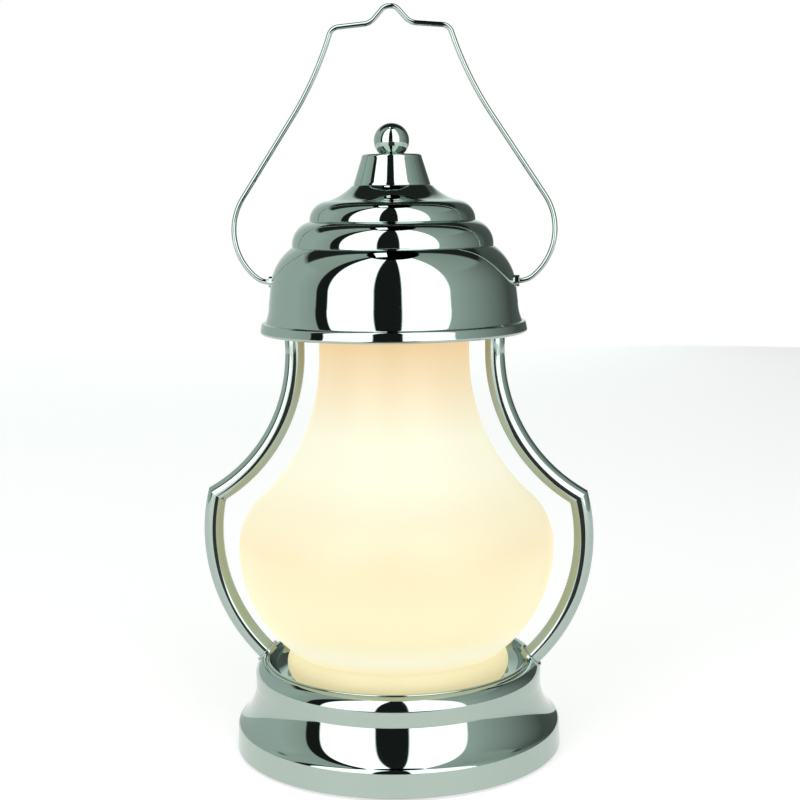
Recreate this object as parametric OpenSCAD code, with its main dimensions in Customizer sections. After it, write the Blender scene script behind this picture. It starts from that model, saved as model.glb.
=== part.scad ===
// Lantern table lamp: a bell-shaped opal glass between a stepped round base and a
// tiered hood, framed by two bent bars and carried by a swinging wire handle.
// The lamp stands on the XY plane, centred on the Z axis; the two bars and the
// handle lie in the XZ plane, and the lead leaves at the back, towards +Y.

/* [Base] */
// Radius of the base at the foot of its bottom band
base_r = 78.0; // [76:0.2:84]
// Height of the straight part of the bottom band above the table
band_h = 12; // [11:0.5:16]
// How much the bottom band draws in towards its top
band_draw = 0.5; // [0:0.1:1]
// Radius of the bottom band's rounded upper edge
band_edge_r = 2.4; // [1.4:0.1:4]
// Height of that edge and the hollow cove, up to the upper band
cove_h = 18.1; // [14:0.1:22]
// Radius of the cove at its top
waist_r = 68.2; // [66:0.2:71]
// How far the upper band stands out from the cove
band_step = 0.4; // [0.2:0.1:1.2]
// Height of the upper band
upper_band_h = 7.4; // [5:0.1:11]
// Radius of the quarter-round shoulder from the upper band to the mouth
shoulder_h = 4.9; // [4.2:0.1:7]
// Thickness of the spun sheet of the base, the dish and the hood
sheet = 1.0; // [0.7:0.1:1.2]
// Gap between the table and the lower edge of the base shell
shell_lift = 1.5; // [0.4:0.1:1.8]
// Thickness of the felt ring that the lamp stands on
felt_t = 2.0; // [1.6:0.1:3]
// Width of the felt ring
felt_w = 16; // [8:1:20]
// Thickness of the steel cover under the base
cover_t = 1.0; // [0.8:0.1:2]

/* [Dish] */
// Distance of the dish's rolled rim from the edge of the base's mouth
rim_in = 0.5; // [0.2:0.1:1.5]
// Width of the rim, from its outer edge to the inside of the dish
rim_w = 1.9; // [1.8:0.1:3]
// Height of the rolled rim above the base's mouth
rim_t = 0.9; // [0.7:0.1:1.1]
// Depth of the dish's floor below the base's mouth
dish_depth = 9.4; // [9:0.1:12]
// Radius of the curve between the dish's wall and floor
dish_corner_r = 8.8; // [6:0.2:9.2]

/* [Ballast and stem] */
// Thickness of the cast ballast disc
ballast_t = 12; // [9:0.5:13]
// Radius of the ballast's hub, which the dish is clamped to
hub_r = 17; // [15:0.5:24]
// Outer diameter of the hollow threaded stem
stem_d = 10; // [9:0.5:12]
// Bore of the hollow stem, for the lead
stem_bore_d = 7; // [5:0.5:7.5]
// Width across the flats of the stem's nuts
stem_nut_af = 17; // [15:0.5:19]
// Height of the stem's nuts
stem_nut_h = 5; // [4:0.5:7]
// Radius of the washers under the stem's nuts
washer_r = 11; // [10.5:0.5:13]
// Thickness of the washers
washer_t = 1.5; // [1:0.1:2.5]
// Bore of the bush that the lead comes in through
lead_bore_d = 6; // [5:0.2:6.4]
// Wall of that bush
bush_wall = 1.0; // [0.8:0.1:1.2]
// Distance of the three cover screws from the axis
cover_screw_pitch_r = 46; // [40:1:52]

/* [Lampholder and bulb] */
// Outer radius of the lampholder
holder_r = 19.5; // [18:0.5:22]
// Height of the lampholder
holder_h = 46; // [43:0.5:52]
// Wall of the lampholder's cup
holder_wall = 1.8; // [1.4:0.1:2.6]
// Radius inside the brass screw sleeve
sleeve_r = 13.4; // [13.2:0.1:13.8]
// Height of the brass screw sleeve
sleeve_h = 20; // [16:0.5:24]
// Greatest diameter of the bulb
bulb_d = 60; // [45:1:60]
// Length of the bulb from its contact to its top
bulb_len = 108; // [100:1:116]

/* [Glass] */
// Radius of the glass at its belly
belly_r = 75; // [70:0.5:76]
// Height of the belly above the glass's lower edge
belly_h = 64.2; // [58:0.2:72]
// Radius of the glass's straight neck
neck_r = 35.4; // [33:0.2:38]
// Length of the straight neck above the flare
neck_h = 24; // [22:0.5:30]
// Radius of the curve of the bowl below the belly
bowl_arc_r = 62; // [60:0.5:68]
// Radius of the curve of the shoulder above the belly
top_arc_r = 30; // [26:0.5:34]
// Radius of the hollow flare between shoulder and neck
flare_arc_r = 92; // [84:1:100]
// Greatest radius of the rounded foot that stands in the dish
foot_r = 53.2; // [52:0.2:54]
// Radius of the foot's rounded edge
foot_arc_r = 8.6; // [8.2:0.1:9.4]
// Height of the foot's widest place above its lower edge
foot_mid_h = 7.2; // [6.4:0.1:8]
// Thickness of the glass
glass_t = 3.4; // [2.6:0.1:4]
// Thickness of the cushion ring under the glass
cushion_t = 0.8; // [0.5:0.1:1.6]

/* [Frame] */
// Diameter of the round bar that each side strap is bent from
strap_d = 9.4; // [8:0.2:11]
// Gap between the glass's belly and the strap
belly_gap = 9.3; // [7:0.1:12]
// Gap between the glass's flare and the strap
flare_gap = 7.3; // [6:0.1:8.4]
// How much higher the strap's upper bend is centred than the glass's flare
bend_lift = 2; // [0:0.2:4]
// Length of the straight end of the strap, up to the top ring
strap_end = 18; // [15:0.5:24]
// Height of the strap's widest place above the glass's belly
strap_mid_up = 4; // [0:0.5:8]
// Distance of the collar on the strap's foot from the dish's rim
collar_out = 0.9; // [0.4:0.1:2]
// Height of that collar above the base's mouth
collar_up = 0.9; // [0.4:0.1:1.6]
// Radius of the collar
collar_r = 6.3; // [5.8:0.1:7.4]
// Thickness of the collar
collar_t = 1.8; // [1.2:0.1:2.6]
// Thickness of the top ring that joins the straps
ring_t = 2; // [1.6:0.1:3]
// Wall of the soft collar between the glass's neck and the top ring
neck_seal_t = 1.8; // [1.2:0.1:2.6]
// Height of the soft collar above and below the ring
neck_seal_lip = 1.2; // [0.8:0.1:2]

/* [Hood] */
// Height of the hood's lower edge below the top of the straps
hood_drop = 8.7; // [6:0.1:12]
// Radius of the hood over the raised band round its lower edge
hood_r = 62.6; // [61.8:0.1:66]
// Height of that band
hood_band_h = 5.3; // [4:0.1:8]
// How much the band draws in towards its top
hood_band_draw = 0.5; // [0:0.1:1]
// Radius of the band's rounded upper and lower edges
hood_edge_r = 1.3; // [1.1:0.1:1.8]
// Radius of the skirt at its foot, inside the band
skirt_foot_r = 60.2; // [59.2:0.1:60.4]
// Radius of the skirt above its flare
skirt_r = 58.3; // [57.6:0.1:59]
// Height of the flare at the skirt's foot
skirt_flare_h = 8.9; // [6:0.1:12]
// Height of the plain skirt above the flare
skirt_h = 8; // [6:0.2:12]
// How much the plain skirt draws in
skirt_taper = 0.9; // [0.2:0.1:1.6]
// Height of the domed shoulder above the skirt
dome_h = 17.8; // [15:0.2:21]
// Radius of the middle tier at its foot
tier2_r = 47; // [45:0.2:48]
// Height of the middle tier
tier2_h = 12; // [9:0.2:14]
// Radius of the upper tier at its foot
tier1_r = 38.7; // [37:0.1:40]
// Height of the upper tier
tier1_h = 9.3; // [7:0.1:11]
// Radius where the upper tier turns into the concave crown
crown_r = 30; // [27:0.5:32]
// Height of the concave crown
crown_h = 6.9; // [5:0.1:9]
// Radius of the flat that the neck cap stands on
crown_top_r = 18.6; // [17.8:0.1:21]

/* [Neck cap and finial] */
// Radius of the neck cap at its foot
cap_r = 17.8; // [16:0.1:18.5]
// Radius of the neck cap at its top
cap_top_r = 14.0; // [12:0.1:16]
// Height of the neck cap
cap_h = 14.3; // [11:0.1:18]
// Radius of the rounded edge on top of the cap
cap_edge_r = 1.4; // [0.6:0.1:2]
// Radius of the ball finial
ball_r = 8.2; // [7:0.1:10]
// How far the ball's centre stands above the cap
ball_up = 6.2; // [5:0.1:8]
// Diameter of the finial's threaded stud
stud_d = 5; // [4:0.5:6]

/* [Handle] */
// Diameter of the handle's wire
wire_d = 2.4; // [2:0.1:2.6]
// Height of the handle's pivots above the top of the straps
pivot_h = 15; // [14:0.5:18]
// Height of the handle's crown above its pivots, at the wire's centre
handle_h = 125.8; // [115:0.2:140]
// Radius of the crown's round tip
tip_r = 4.4; // [3:0.1:6]
// Slope of the crown's flanks
flank_slope = 48.5; // [42:0.5:54]
// Length of each straight flank
flank_len = 5.2; // [3:0.1:9]
// Radius of the bend at the crown's foot
crown_bend_r = 7.4; // [5:0.2:10]
// Length of each straight shoulder of the crown
crown_arm = 12; // [9:0.5:18]
// Fall of those shoulders towards the corners
crown_fall = 5; // [0:0.5:9]
// Radius of the upper corners
corner_bend_r = 4.8; // [3:0.2:8]
// Slope of the legs just under the corners
leg_top_slope = 71.4; // [66:0.2:76]
// Slope of the legs at their straight lower part
leg_slope = 56.6; // [53:0.2:60]
// Radius of the long hollow bend of the legs
leg_bend_r = 160; // [120:5:220]
// Radius of the belly bend round the widest place
belly_bend_r = 28.2; // [24:0.2:34]
// Rise of the wire where the belly bend passes into the pivot's bend
pivot_rise = 41.6; // [34:0.2:50]
// Radius of the bend next to the pivot
pivot_bend_r = 9.8; // [7:0.2:13]
// Radius of the eyelet's flange
eyelet_r = 2.7; // [2.5:0.1:3.6]
// How far the eyelet's flange stands out from the skirt
eyelet_out = 1.6; // [1.2:0.1:2.6]
// Wall of the eyelet's threaded bush
eyelet_wall = 1.05; // [0.9:0.05:1.3]

/* [Hidden] */

$fn = 96;
FINE = 160;             // segments of the large round forms
fit = 0.05;             // radial clearance of pins, screws and bushes in their holes
loose = 0.2;            // radial clearance of spun pieces that nest
eps = 0.01;             // small overlap that keeps cuts clean
bend_thin = 0.02;       // bending draws a bar or wire this much thinner than its straight parts
lap = 0.2;              // length over which straight parts run into the bends

// ---- heights above the table, from the bottom up
z_cover = felt_t;
z_ballast = z_cover + cover_t;
z_waist = band_h + cove_h;
z_shoulder = z_waist + upper_band_h;
z_mouth = z_shoulder + shoulder_h;
z_floor = z_mouth - dish_depth;
z_glass = z_floor + cushion_t;
z_belly = z_glass + belly_h;
z_holder = z_floor + washer_t + stem_nut_h;

// ---- radii of the base's mouth and the dish that lies in it
upper_band_r = waist_r + band_step;
mouth_r = upper_band_r - shoulder_h;
rim_r = mouth_r - rim_in;
dish_r = rim_r - rim_w;
mouth_hole_r = dish_r + sheet + loose;

// ---- glass: centres of its tangent arcs, in the plane of its profile
bowl_c = [belly_r - bowl_arc_r, z_belly];
top_c = [belly_r - top_arc_r, z_belly];
flare_c = [neck_r + flare_arc_r,
    z_belly + sqrt(pow(flare_arc_r + top_arc_r, 2) - pow(neck_r + flare_arc_r - top_c[0], 2))];
foot_c = [foot_r - foot_arc_r, z_glass + foot_mid_h];
z_neck_top = flare_c[1] + neck_h;

// ---- straps: an upper bend round the flare and a lower bend from belly to base
strap_r = strap_d / 2;
z_bend = flare_c[1] + bend_lift;
z_ring = z_bend + strap_end;
upper_bend_r = flare_arc_r - flare_gap - strap_r;
upper_bend_c = [flare_c[0], z_bend];
strap_x = flare_c[0] - upper_bend_r;
collar_p = [rim_r + collar_out, z_mouth + collar_up];
belly_x = belly_r + belly_gap + strap_r;
z_strap_mid = z_belly + strap_mid_up;
lower_bend_r = (pow(belly_x - collar_p[0], 2) + pow(z_strap_mid - collar_p[1], 2))
    / (2 * (belly_x - collar_p[0]));
lower_bend_c = [belly_x - lower_bend_r, z_strap_mid];
strap_corner = crossing(upper_bend_c, upper_bend_r, lower_bend_c, lower_bend_r);
foot_angle = heading(lower_bend_c, collar_p);
foot_lean = 90 + foot_angle;         // slope of the strap where it meets the base

// ---- top: ring, hood, cap and pivots
z_ring_top = z_ring + ring_t;
z_hood = z_ring - hood_drop;
z_skirt = z_hood + hood_band_h + skirt_flare_h;
z_dome = z_skirt + skirt_h;
z_tier2 = z_dome + dome_h;
z_tier1 = z_tier2 + tier2_h;
z_crown = z_tier1 + tier1_h;
z_top = z_crown + crown_h;
z_cap_top = z_top + cap_h;
z_ball = z_cap_top + ball_up;
z_pivot = z_ring + pivot_h;
skirt_top_r = skirt_r - skirt_taper;
ring_hole_r = neck_r + neck_seal_t;
tab_play = 0.9;                      // gap between the hood and the ring's upright tabs
tab_over = 4;                        // how far the tabs reach above the pivots
tab_half_w = 5.5;
tab_x = skirt_top_r - sheet - tab_play;
tab_h = pivot_h - ring_t + tab_over;
eyelet_bore_r = wire_d / 2 + fit;
eyelet_bush_r = eyelet_bore_r + eyelet_wall;
screw_r = 2;                         // thread of the cover's and the ring's screws
screw_head_r = 3.5;
screw_head_h = 1.5;

// ---- profile helpers: points are [radius, height], drawn from the bottom up
function heading(from, to) = atan2(to[1] - from[1], to[0] - from[0]);
// points of an arc round c, from angle a0 to a1
function arc(c, r, a0, a1, n = 10) =
    [for (i = [0:n]) let (a = a0 + (a1 - a0) * i / n) [c[0] + r * cos(a), c[1] + r * sin(a)]];
// points of the arc from p to q whose middle stands s to the right of the chord
function bow(p, q, s, n = 8) =
    let (c = norm(q - p), u = (q - p) / c, side = [u[1], -u[0]],
         r = (c * c / 4 + s * s) / (2 * abs(s)), half = asin(c / 2 / r))
    [for (i = [0:n]) let (a = -half + 2 * half * i / n)
        (p + q) / 2 + u * r * sin(a) + side * sign(s) * (r * cos(a) - r + abs(s))];
// a rounded edge of radius r from p, turning into a hollow that ends upright at q
function cove(p, q, r) =
    let (d = p[0] - q[0], h = q[1] - p[1], turn = 2 * atan(d / h), hollow_r = h / sin(turn) - r)
    concat(arc([p[0] - r, p[1]], r, 0, turn, 6),
        tail(arc([q[0] + hollow_r, q[1]], hollow_r, 180 + turn, 180, 14)));
function tail(list) = [for (i = [1:len(list) - 1]) list[i]];
function reversed(list) = [for (i = [len(list) - 1:-1:0]) list[i]];
function left_of(p, q) = let (u = (q - p) / norm(q - p)) [-u[1], u[0]];
// the same path moved t to its left, with mitred corners
function inset(path, t) =
    [for (i = [0:len(path) - 1])
        let (a = i > 0 ? left_of(path[i - 1], path[i]) : left_of(path[0], path[1]),
             b = i < len(path) - 1 ? left_of(path[i], path[i + 1]) : a)
        path[i] + (a + b) / (1 + a * b) * t];
// upper crossing point of two circles
function crossing(c0, r0, c1, r1) =
    let (d = norm(c1 - c0), u = (c1 - c0) / d, a = (d * d + r0 * r0 - r1 * r1) / (2 * d),
         h = sqrt(r0 * r0 - a * a), side = [u[1], -u[0]],
         p = c0 + u * a + side * h, q = c0 + u * a - side * h)
    p[0] > q[0] ? p : q;

// ---- profiles
hood_curl = 0.6;                     // how far the hood's lower edge is turned in
skirt_flare_bow = 0.45;              // bow of the skirt's flare
dome_bow = 2.1;                      // bows of the rounded shoulders of the tiers
tier2_bow = 2.4;
tier1_bow = 2.6;
crown_bow = 0.8;                     // bow of the concave crown
tier2_ledge = 0.6;                   // width of the ledges that the tiers stand on
tier1_ledge = 0.8;
ledge_rise = 0.3;                    // rise of those ledges
shoulder_path = arc([mouth_r, z_shoulder], shoulder_h, 0, 90, 8);
base_path = concat(
    [[base_r, shell_lift]],
    cove([base_r - band_draw, band_h], [waist_r, z_waist], band_edge_r),
    [[upper_band_r, z_waist]],
    shoulder_path,
    [[mouth_hole_r, z_mouth]]);

rim_rise = 0.3;                      // straight wall of the dish between mouth and rolled rim
rim_roll_r = rim_t - rim_rise;
dish_corner_c = [dish_r - dish_corner_r, z_floor + dish_corner_r];
dish_path = concat(
    [[0, z_floor]],
    arc(dish_corner_c, dish_corner_r, -90, 0, 10),
    [[dish_r, z_mouth + rim_rise]],
    tail(arc([dish_r + rim_roll_r, z_mouth + rim_rise], rim_roll_r, 180, 90, 4)));

crease_rise = 7.9;                   // height of the crease above the foot's widest place
crease_turn = 44;                    // where the foot's round edge turns into the crease
glass_path = concat(
    arc(foot_c, foot_arc_r, asin(-foot_mid_h / foot_arc_r), crease_turn, 12),
    arc(bowl_c, bowl_arc_r, asin((foot_c[1] + crease_rise - z_belly) / bowl_arc_r), 0, 16),
    tail(arc(top_c, top_arc_r, 0, heading(top_c, flare_c), 8)),
    tail(arc(flare_c, flare_arc_r, heading(flare_c, top_c), -180, 14)),
    [[neck_r, z_neck_top]]);

hood_band_top_r = hood_r - hood_band_draw;
hood_path = concat(
    [[hood_r - hood_edge_r - hood_curl, z_hood]],
    arc([hood_r - hood_edge_r, z_hood + hood_edge_r], hood_edge_r, -90, 0, 6),
    arc([hood_band_top_r - hood_edge_r, z_hood + hood_band_h - hood_edge_r], hood_edge_r, 0, 90, 6),
    bow([skirt_foot_r, z_hood + hood_band_h], [skirt_r, z_skirt], -skirt_flare_bow, 6),
    [[skirt_top_r, z_dome]],
    tail(bow([skirt_top_r, z_dome], [tier2_r + tier2_ledge, z_tier2 - ledge_rise], dome_bow, 10)),
    bow([tier2_r, z_tier2], [tier1_r + tier1_ledge, z_tier1 - ledge_rise], tier2_bow, 8),
    bow([tier1_r, z_tier1], [crown_r, z_crown], tier1_bow, 8),
    tail(bow([crown_r, z_crown], [crown_top_r, z_top], -crown_bow, 6)),
    [[stud_d / 2 + fit, z_top]]);

// ---- shared shapes
module lathe(points) rotate_extrude($fn = FINE) polygon(points);
module sheet_lathe(path, t) lathe(concat(path, reversed(inset(path, t))));
module ring(r_in, r_out, z0, z1)
    rotate_extrude() polygon([[r_in, z0], [r_out, z0], [r_out, z1], [r_in, z1]]);
module both_sides() {
    children();
    mirror([1, 0, 0]) children();
}
// the full solid under the base's outside and the dish's rim, used to cut what stands on it
module base_body() {
    lathe(concat([[0, shell_lift]], base_path, [[0, z_mouth]]));
    ring(0, rim_r, shell_lift, z_mouth + rim_t);
}
module hood_body() lathe(concat([[0, hood_path[0][1]]], hood_path, [[0, z_top]]));
module hex_nut(af, h, bore) difference() {
    cylinder(h = h, r = af / 2 / cos(30), $fn = 6);
    translate([0, 0, -eps]) cylinder(h = h + 2 * eps, r = bore / 2, $fn = 48);
}
// a screw standing on z = 0, head below and shank up
module screw(len, r = screw_r, head_r = screw_head_r) {
    translate([0, 0, -screw_head_h]) cylinder(h = screw_head_h, r = head_r, $fn = 48);
    cylinder(h = len, r = r, $fn = 48);
}
module at_cover_screws() for (a = [30, 150, 270]) rotate(a) translate([cover_screw_pitch_r, 0, 0]) children();

// ---- base
lead_bush_r = lead_bore_d / 2 + bush_wall;
lead_z = z_ballast + lead_bush_r + loose;
lead_bush_in = 4;                    // how far the bush reaches inwards from the shell
lead_flange_out = 0.5;
lead_flange_r = lead_bush_r + lead_flange_out;
lead_flange_t = 1.5;
base_in_r = base_r - band_draw - sheet;
shell_play = 0.3;                    // gap round pieces that lie inside the base shell
ballast_r = base_in_r - shell_play;
z_ballast_top = z_ballast + ballast_t;
well_play = 1;                       // room round the lower washer in its recess under the hub
well_h = 13.5;
z_well = z_ballast + well_h;
channel_w = 9;                       // channel for the lead under the ballast
channel_h = 7.5;
notch_play = 0.4;                    // room beside the bush's flange in the ballast's notch
notch_depth = 6;
felt_in = 2;                         // distance of the felt ring from the shell's inside
cover_screw_len = 7;

module base_shell() color("silver") difference() {
    sheet_lathe(base_path, sheet);
    translate([0, 0, lead_z]) rotate([-90, 0, 0]) cylinder(h = base_r + 1, r = lead_bush_r);
    both_sides() at_foot_screw() cylinder(h = 6 * sheet, r = foot_screw_r + fit, center = true, $fn = 48);
}

module base_ballast() color("dimgray") difference() {
    union() {
        intersection() {
            ring(stem_d / 2 + fit, ballast_r, z_ballast, z_ballast_top);
            lathe(concat([[0, shell_lift]], inset(base_path, sheet), [[0, z_mouth - sheet]]));
        }
        ring(stem_d / 2 + fit, hub_r, z_ballast, z_floor - sheet);
    }
    translate([0, 0, z_ballast - eps]) cylinder(h = well_h + eps, r = washer_r + well_play);
    translate([-channel_w / 2, 0, z_ballast - eps]) cube([channel_w, base_r, channel_h]);
    translate([-lead_flange_r - notch_play, ballast_r - notch_depth, z_ballast - eps])
        cube([2 * (lead_flange_r + notch_play), 2 * notch_depth, 2 * ballast_t]);
    at_cover_screws() translate([0, 0, z_ballast - eps])
        cylinder(h = cover_screw_len + 1, r = screw_r, $fn = 48);
}

module base_cover() color("dimgray") difference() {
    ring(0, base_in_r - fit, z_cover, z_ballast);
    at_cover_screws() translate([0, 0, z_cover - eps])
        cylinder(h = cover_t + 2 * eps, r = screw_r + 2 * fit, $fn = 48);
}

module cover_screws() color("silver") at_cover_screws()
    translate([0, 0, z_cover]) screw(cover_t + cover_screw_len);

module felt_ring() color("black") 
    ring(base_in_r - felt_in - felt_w, base_in_r - felt_in, 0, z_cover);

// the bush's flange rests on the cover with a flat
module lead_bush() color("black") difference() {
    translate([0, 0, lead_z]) rotate([-90, 0, 0]) difference() {
        union() {
            translate([0, 0, base_in_r - lead_bush_in])
                cylinder(h = base_r - base_in_r + lead_bush_in, r = lead_bush_r);
            translate([0, 0, base_in_r - shell_play - lead_flange_t])
                cylinder(h = lead_flange_t, r = lead_flange_r);
        }
        translate([0, 0, base_in_r - lead_bush_in - 1]) cylinder(h = base_r, r = lead_bore_d / 2);
    }
    translate([-base_r, 0, 0]) cube([2 * base_r, 2 * base_r, z_ballast]);
}

module dish() color("silver") difference() {
    lathe(concat([[0, z_floor - sheet]],
        tail(arc(dish_corner_c, dish_corner_r + sheet, -90, 0, 10)),
        [[dish_r + sheet, z_mouth], [rim_r - rim_t / 2, z_mouth]],
        arc([rim_r - rim_t / 2, z_mouth + rim_t / 2], rim_t / 2, -90, 90, 6),
        reversed(dish_path)));
    translate([0, 0, z_floor - 2 * sheet]) cylinder(h = 4 * sheet, r = stem_d / 2 + fit);
}

// the ground lower edge of the glass, which the cushion carries
foot_turn = asin(-foot_mid_h / foot_arc_r);
foot_out_r = glass_path[0][0];
foot_in_path = tail(arc(foot_c, foot_arc_r - glass_t, foot_turn, -84, 4));
foot_in_r = foot_in_path[len(foot_in_path) - 1][0];
module glass_cushion() color("ivory") ring(foot_in_r, foot_out_r, z_floor, z_glass);

// ---- stem and lampholder
stem_under = 1;                      // how far the stem stands out under its lower nut
stem_over = 8;                       // how far it reaches into the lampholder
module stem() color("gold") ring(stem_bore_d / 2, stem_d / 2,
    z_well - washer_t - stem_nut_h - stem_under, z_holder + stem_over);

module stem_nuts() color("gold") {
    translate([0, 0, z_floor + washer_t]) hex_nut(stem_nut_af, stem_nut_h, stem_d);
    translate([0, 0, z_well - washer_t - stem_nut_h]) hex_nut(stem_nut_af, stem_nut_h, stem_d);
}

module stem_washers() color("silver") {
    ring(stem_d / 2 + fit, washer_r, z_floor, z_floor + washer_t);
    ring(stem_d / 2 + fit, washer_r, z_well - washer_t, z_well);
}

holder_neck_r = 11;
holder_neck_h = 6;
holder_cone_h = 5;
holder_step_h = 1;
core_seat_w = 3.6;                   // width of the ledge that the ceramic core lies on
core_seat_h = 2.5;
core_t = 9;
core_hole_x = 9.5;
core_hole_r = 1.6;
z_core = z_holder + holder_neck_h + holder_cone_h + holder_step_h;
z_sleeve = z_core + core_t;
module holder_cup() color("black")
    lathe([[stem_d / 2, z_holder], [holder_neck_r, z_holder],
        [holder_neck_r, z_holder + holder_neck_h], [holder_r, z_core - holder_step_h],
        [holder_r, z_holder + holder_h], [holder_r - holder_wall, z_holder + holder_h],
        [holder_r - holder_wall, z_core], [holder_r - holder_wall - core_seat_w, z_core],
        [holder_r - holder_wall - core_seat_w, z_core - core_seat_h], [stem_d / 2, z_core - core_seat_h]]);

module holder_core() color("white") difference() {
    ring(0, holder_r - holder_wall - loose, z_core, z_sleeve);
    both_sides() translate([core_hole_x, 0, z_core - eps])
        cylinder(h = core_t + 2 * eps, r = core_hole_r, $fn = 32);
}

// a bent brass tongue under the bulb's contact
contact_h = 3;
contact_w = 5;
contact_t = 0.6;
contact_foot = 9;
contact_tip = 6;
module holder_contact() color("gold") translate([-contact_tip / 2, -contact_w / 2, z_sleeve]) {
    cube([contact_foot, contact_w, contact_t]);
    cube([contact_t, contact_w, contact_h]);
    translate([0, 0, contact_h - contact_t]) cube([contact_tip, contact_w, contact_t]);
}

sleeve_t = 0.6;
module screw_sleeve() color("gold")
    ring(sleeve_r, sleeve_r + sleeve_t, z_sleeve, z_sleeve + sleeve_h);

// ---- bulb
z_bulb = z_sleeve + contact_h;
cap_play = 0.3;                      // radial room between the bulb's cap and the sleeve
cap_shell_h = 22;
cap_shell_r = sleeve_r - cap_play;
cap_contact_r = 5;
cap_contact_h = 1;
cap_cone_h = 2;
z_cap_shell = z_bulb + cap_contact_h + cap_cone_h;
z_bulb_glass = z_cap_shell + cap_shell_h;
z_bulb_mid = z_bulb + bulb_len - bulb_d / 2;
thread_rise = 3.6;
thread_deep = 0.4;
module bulb_cap() color("silver") {
    ring(0, cap_contact_r, z_bulb, z_bulb + cap_contact_h);
    lathe(concat([[0, z_bulb + cap_contact_h], [cap_contact_r, z_bulb + cap_contact_h]],
        [for (i = [0:4], k = [0:3])
            [cap_shell_r - thread_deep * (1 - cos(k * 90)), z_cap_shell + thread_rise * (i + k / 4)]],
        [[cap_shell_r, z_bulb_glass], [0, z_bulb_glass]]));
}

// round head, with a hollow flare tangent to it and upright at the cap
bulb_r = bulb_d / 2;
bulb_c = [0, z_bulb_mid];
bulb_neck_in = 0.2;                  // how far the glass lies inside the cap's shell
bulb_neck_h = 4;
bulb_neck = [cap_shell_r - bulb_neck_in, z_bulb_glass + bulb_neck_h];
bulb_flare_r = (pow(bulb_neck[0], 2) + pow(bulb_c[1] - bulb_neck[1], 2) - pow(bulb_r, 2))
    / 2 / (bulb_r - bulb_neck[0]);
bulb_flare_c = [bulb_neck[0] + bulb_flare_r, bulb_neck[1]];
bulb_turn = heading(bulb_c, bulb_flare_c);
module bulb_glass() color("white") lathe(concat(
    [[0, z_bulb_glass], [bulb_neck[0], z_bulb_glass]],
    arc(bulb_flare_c, bulb_flare_r, 180, 180 + bulb_turn, 8),
    tail(arc(bulb_c, bulb_r, bulb_turn, 90, 14))));

// ---- glass
module glass_shade() color("lemonchiffon") lathe(concat(glass_path,
    reversed(inset(glass_path, glass_t)), foot_in_path, [[foot_in_r, z_glass]]));

// ---- straps, built at +X and mirrored
module bar_arc(c, r, a0, a1) translate([c[0], 0, c[1]]) rotate([90, 0, 0])
    rotate([0, 0, a0]) rotate_extrude(angle = a1 - a0, $fn = FINE)
        translate([r, 0]) circle(r = strap_r - bend_thin, $fn = 64);
// the two bends meet in a mitre that halves the corner between them
upper_angle = heading(upper_bend_c, strap_corner) + 360;
lower_angle = heading(lower_bend_c, strap_corner);
mitre_dir = (upper_angle + lower_angle) / 2;
mitre_over = 6;                      // how far each bend runs past the corner before it is cut
foot_over = 9;                       // how far the lower bend runs past the collar before it is cut
cut = 4 * strap_d;
weld = 0.15;                        // how far each bend runs into the other, as the weld does
module beyond_mitre(dir, gap) translate([strap_corner[0], 0, strap_corner[1]])
    rotate([0, 90 - dir, 0]) translate([-cut / 2, -cut / 2, gap]) cube(cut);

ring_screw_len = 12;
ring_screw_room = 1;                 // free depth of the hole past the ring's screws
// the screws that hold the straps come up square through the base's shoulder; their
// heads touch the inside of the quarter round with the whole rim
foot_screw_r = 1.5;
foot_head_r = 2.5;
foot_screw_len = 7.5;
foot_screw_i = 5;                    // point of the shoulder that they come through
foot_screw_p = shoulder_path[foot_screw_i];
foot_screw_tilt = 180 - heading(shoulder_path[foot_screw_i - 1], shoulder_path[foot_screw_i + 1]);
foot_screw_seat = shoulder_h + fit - sqrt(pow(shoulder_h - sheet, 2) - pow(foot_head_r, 2));
module at_foot_screw() translate([foot_screw_p[0], 0, foot_screw_p[1]])
    rotate([0, foot_screw_tilt, 0]) children();
module at_collar() translate([collar_p[0], 0, collar_p[1]]) rotate([0, -90 - foot_lean, 0]) children();

module strap() difference() {
    union() {
        difference() {
            bar_arc(upper_bend_c, upper_bend_r, 180, upper_angle + mitre_over);
            beyond_mitre(mitre_dir + 180, weld);
        }
        difference() {
            bar_arc(lower_bend_c, lower_bend_r, foot_angle - foot_over, lower_angle + mitre_over);
            beyond_mitre(mitre_dir, weld);
        }
        translate([strap_x, 0, z_bend - lap]) cylinder(h = strap_end + lap, r = strap_r, $fn = 64);
    }
    base_body();
    translate([strap_x, 0, z_ring - ring_screw_len]) cylinder(h = 2 * ring_screw_len, r = screw_r, $fn = 48);
    at_foot_screw() cylinder(h = 2 * foot_screw_len + 2, r = foot_screw_r, center = true, $fn = 48);
}
module strap_right() color("silver") strap();
module strap_left() color("silver") rotate(180) strap();

module strap_collars() color("silver") both_sides() difference() {
    at_collar() difference() {
        cylinder(h = collar_t, r = collar_r, center = true);
        cylinder(h = 2 * collar_t, r = strap_r, center = true, $fn = 64);
    }
    base_body();
}

module foot_screws() color("silver") both_sides() at_foot_screw()
    translate([0, 0, -foot_screw_seat]) screw(foot_screw_len + foot_screw_seat, foot_screw_r, foot_head_r);

// ---- top ring and soft collar
module tab_hole(r) translate([0, 0, z_pivot]) rotate([0, 90, 0])
    cylinder(h = hood_r, r = r, $fn = 48);
module top_ring() color("silver") difference() {
    union() {
        ring(ring_hole_r, tab_x, z_ring, z_ring_top);
        both_sides() translate([tab_x - ring_t, -tab_half_w, z_ring]) cube([ring_t, 2 * tab_half_w, tab_h]);
    }
    both_sides() {
        tab_hole(eyelet_bush_r);
        translate([strap_x, 0, z_ring - 1]) cylinder(h = ring_t + 2, r = screw_r + fit, $fn = 48);
    }
}

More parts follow.
